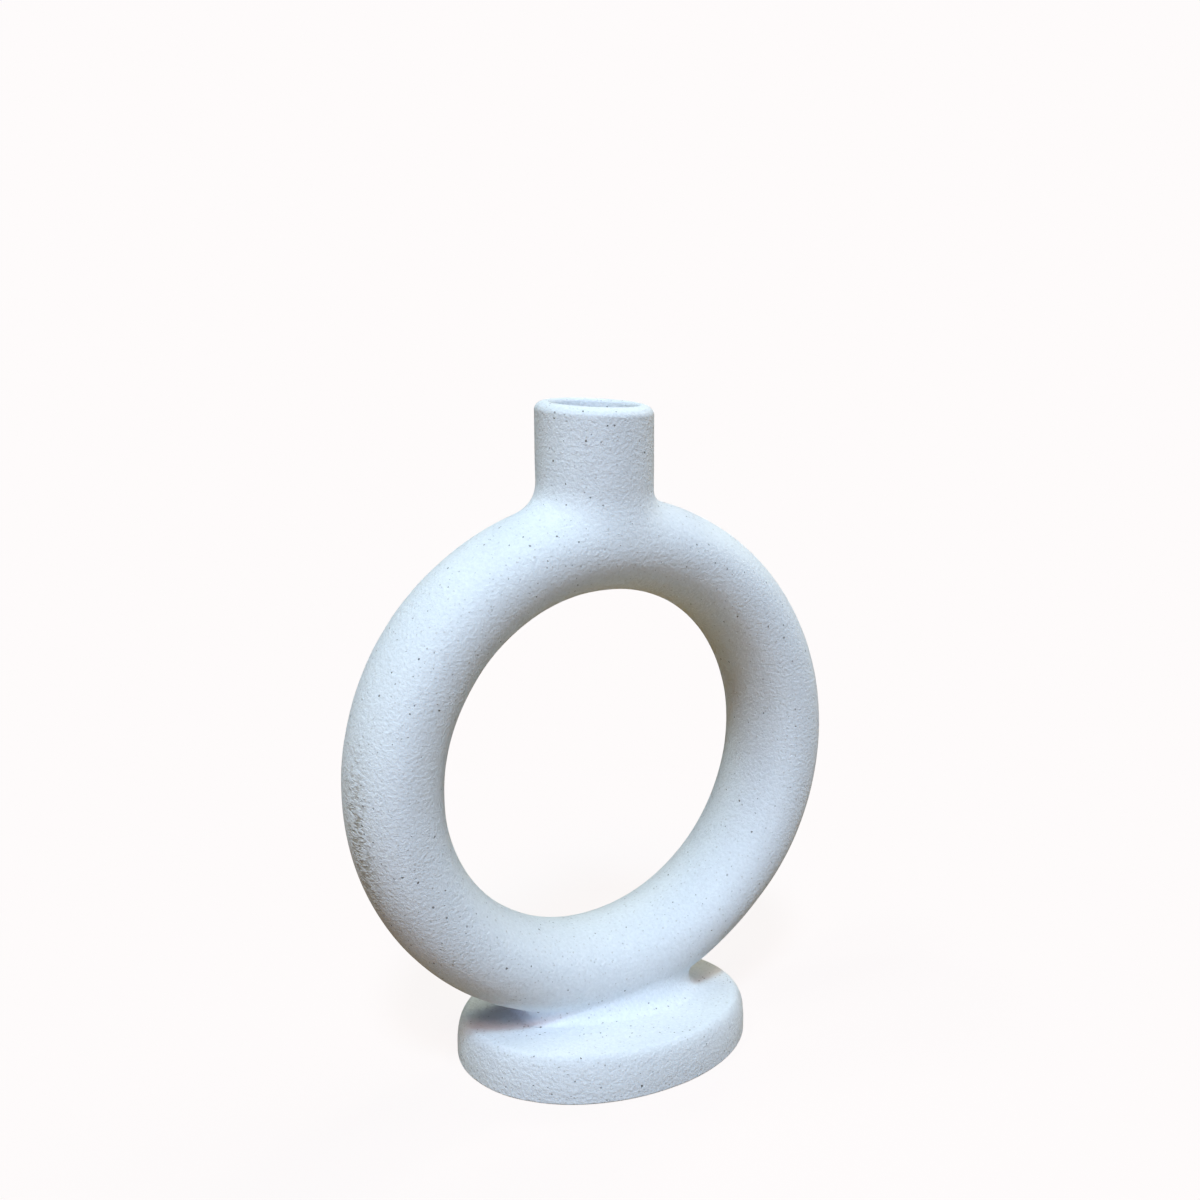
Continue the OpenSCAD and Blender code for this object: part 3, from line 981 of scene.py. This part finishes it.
def make_floor(studio):
    """A wide round floor: the view sees it as pale as the background, under a soft shadow, and
    the vase sees its plain colour."""
    points = spun(turns(FLOOR_STEPS), FLOOR_RADIUS, 0.0)
    points = np.concatenate([points, [[0, 0, 0]]])
    i = np.arange(FLOOR_STEPS)
    floor = new_piece("floor", points, [stack(i, np.roll(i, -1), FLOOR_STEPS)])

    material = bpy.data.materials.new("floor_paper")
    tree = cleared_tree(material)
    place = add_node(tree, "TexCoord").outputs["Object"]
    apart = add_node(tree, "VectorMath", {0: place}, operation="LENGTH")
    fade = {
        "Value": apart.outputs["Value"],
        "From Min": SHADOW_NEAR,
        "From Max": SHADOW_FAR,
        "To Min": studio.shadow,
        "To Max": 0.0,
    }
    near = add_node(tree, "MapRange", fade, interpolation_type="SMOOTHSTEP").outputs[0]
    paper = add_node(tree, "BsdfDiffuse", {"Color": (*studio.floor_colour, 1)})
    pale = add_node(tree, "Emission", {"Color": (*studio.background, 1), "Strength": 1.0})
    shaded = add_node(tree, "BsdfDiffuse", {"Color": (*studio.shaded_colour, 1)})
    view = add_node(tree, "MixShader", {0: near, 1: pale.outputs[0], 2: shaded.outputs[0]})
    show_apart(tree, paper, view, "OutputMaterial")
    floor.data.materials.append(material)


def make_world(studio):
    """A dark room around the lamps, of which the view sees only the plain background."""
    world = bpy.data.worlds.new("studio")
    bpy.context.scene.world = world
    tree = cleared_tree(world)
    room = add_node(tree, "Background", {"Color": (0, 0, 0, 1), "Strength": 1.0})
    plain = add_node(tree, "Background", {"Color": (*studio.background, 1), "Strength": 1.0})
    show_apart(tree, room, plain, "OutputWorld")


def heading_vector(heading, height, forward):
    """A vector of length 1 from its heading and its height. forward is the sign of Y ahead."""
    flat = math.cos(height)
    return Vector((math.sin(heading) * flat, forward * math.cos(heading) * flat, math.sin(height)))


def make_lamp(name, heading, height, width, level, studio):
    """A soft lamp far from the vase, seen from it as a disc. Its strength is pi times its level,
    so that a white face turned to it shows that level."""
    light = bpy.data.lights.new(name, "SUN")
    light.angle = math.radians(width)
    light.energy = math.pi * max(level) * studio.light
    light.color = [part / max(level) for part in level]
    lamp = bpy.data.objects.new(name, light)
    away = heading_vector(math.radians(heading), math.radians(height), -1)
    lamp.location = away * LAMP_DISTANCE
    lamp.rotation_euler = away.to_track_quat("Z", "Y").to_euler()
    bpy.context.scene.collection.objects.link(lamp)


def make_camera():
    """The camera at the viewing angle: heading and pitch give its axis, roll turns it about it."""
    data = bpy.data.cameras.new("camera")
    data.lens = CAMERA_LENS
    data.sensor_width = FRAME_WIDTH
    data.sensor_fit = "HORIZONTAL"
    data.clip_start = NEAREST_SEEN
    camera = bpy.data.objects.new("camera", data)
    yaw, pitch, roll = (math.radians(part) for part in CAMERA_TURNS)
    ahead = heading_vector(yaw, pitch, 1)
    right = Vector((math.cos(yaw), -math.sin(yaw), 0))
    up = right.cross(ahead)
    turn, stay = math.sin(roll), math.cos(roll)
    right, up = stay * right + turn * up, stay * up - turn * right
    turned = Matrix((right, up, -ahead)).transposed().to_4x4()
    camera.matrix_world = Matrix.Translation(CAMERA_PLACE) @ turned
    bpy.context.scene.collection.objects.link(camera)
    bpy.context.scene.camera = camera


# ---- Operators and panel ----


def make_pieces(context, slot, pieces, bump=BUMP, with_seam=False):
    """Makes pieces of one clay. Each stands for its node and rides with the vase.

    pieces holds the name of each, its node, and the function that makes it.
    """
    scene = context.scene
    clay = clay_material(slot, scene.vase_clay, bump, with_seam)
    for name, node, make in pieces:
        piece = make(name, scene.vase_sizes, scene.vase_handwork)
        piece.data.materials.append(clay)
        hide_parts(node)
        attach(piece, "root")


class DONUTVASE_OT_ring(bpy.types.Operator):
    """Makes the two pressed halves of the hollow ring"""

    bl_idname = "donut_vase.ring"
    bl_label = "Make Ring"

    def execute(self, context):
        pieces = (
            ("ring_front", "ring_front_half", partial(make_ring_half, side=FRONT)),
            ("ring_back", "ring_back_half", partial(make_ring_half, side=BACK)),
        )
        make_pieces(context, "ring_clay", pieces, with_seam=True)
        return {"FINISHED"}


class DONUTVASE_OT_neck(bpy.types.Operator):
    """Makes the round neck with its rounded lip"""

    bl_idname = "donut_vase.neck"
    bl_label = "Make Neck"

    def execute(self, context):
        make_pieces(context, "neck_clay", [("neck", "neck_collar", make_neck)])
        return {"FINISHED"}


class DONUTVASE_OT_foot(bpy.types.Operator):
    """Makes the low oval foot"""

    bl_idname = "donut_vase.foot"
    bl_label = "Make Foot"

    def execute(self, context):
        make_pieces(context, "foot_clay", [("foot", "foot_disc", make_foot)])
        return {"FINISHED"}


class DONUTVASE_OT_joints(bpy.types.Operator):
    """Smooths clay into the joints at the neck and under the ring"""

    bl_idname = "donut_vase.joints"
    bl_label = "Smooth Joints"

    def execute(self, context):
        pieces = (
            ("neck_joint", "neck_joint_coil", make_neck_joint),
            ("foot_joint", "foot_joint_coil", make_foot_joint),
        )
        make_pieces(context, "joint_clay", pieces, JOINT_BUMP)
        return {"FINISHED"}


class DONUTVASE_OT_stage(bpy.types.Operator):
    """Makes the floor, the light and the camera"""

    bl_idname = "donut_vase.stage"
    bl_label = "Make Stage"

    def execute(self, context):
        studio = context.scene.vase_studio
        make_floor(studio)
        make_world(studio)
        for lamp in LAMPS:
            make_lamp(*lamp, studio)
        make_camera()
        context.scene.view_settings.view_transform = "Standard"
        return {"FINISHED"}


class DONUTVASE_PT_panel(bpy.types.Panel):
    """Sizes, clay and studio of the vase, with a button for each piece"""

    bl_idname = "DONUTVASE_PT_panel"
    bl_label = "Donut Vase"
    bl_space_type = "VIEW_3D"
    bl_region_type = "UI"
    bl_category = "Donut Vase"

    def draw(self, context):
        layout = self.layout
        for operator in OPERATORS:
            layout.operator(operator.bl_idname)
        for label, attribute, group in GROUPS:
            box = layout.box()
            box.label(text=label)
            for name in group.__annotations__:
                box.prop(getattr(context.scene, attribute), name)


OPERATORS = (
    DONUTVASE_OT_ring,
    DONUTVASE_OT_neck,
    DONUTVASE_OT_foot,
    DONUTVASE_OT_joints,
    DONUTVASE_OT_stage,
)
GROUPS = (
    ("Sizes", "vase_sizes", VaseSizes),
    ("Handwork", "vase_handwork", VaseHandwork),
    ("Clay", "vase_clay", VaseClay),
    ("Studio", "vase_studio", VaseStudio),
)
CLASSES = (*(group for _, _, group in GROUPS), *OPERATORS, DONUTVASE_PT_panel)


def register():
    for item in CLASSES:
        bpy.utils.register_class(item)
    for _, attribute, group in GROUPS:
        setattr(bpy.types.Scene, attribute, PointerProperty(type=group))


def unregister():
    for _, attribute, _ in GROUPS:
        delattr(bpy.types.Scene, attribute)
    for item in reversed(CLASSES):
        bpy.utils.unregister_class(item)


def main():
    """Registers the add-on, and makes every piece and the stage."""
    register()
    bpy.ops.donut_vase.ring()
    bpy.ops.donut_vase.neck()
    bpy.ops.donut_vase.foot()
    bpy.ops.donut_vase.joints()
    bpy.ops.donut_vase.stage()
    bpy.context.view_layer.update()


if __name__ == "__main__":
    main()
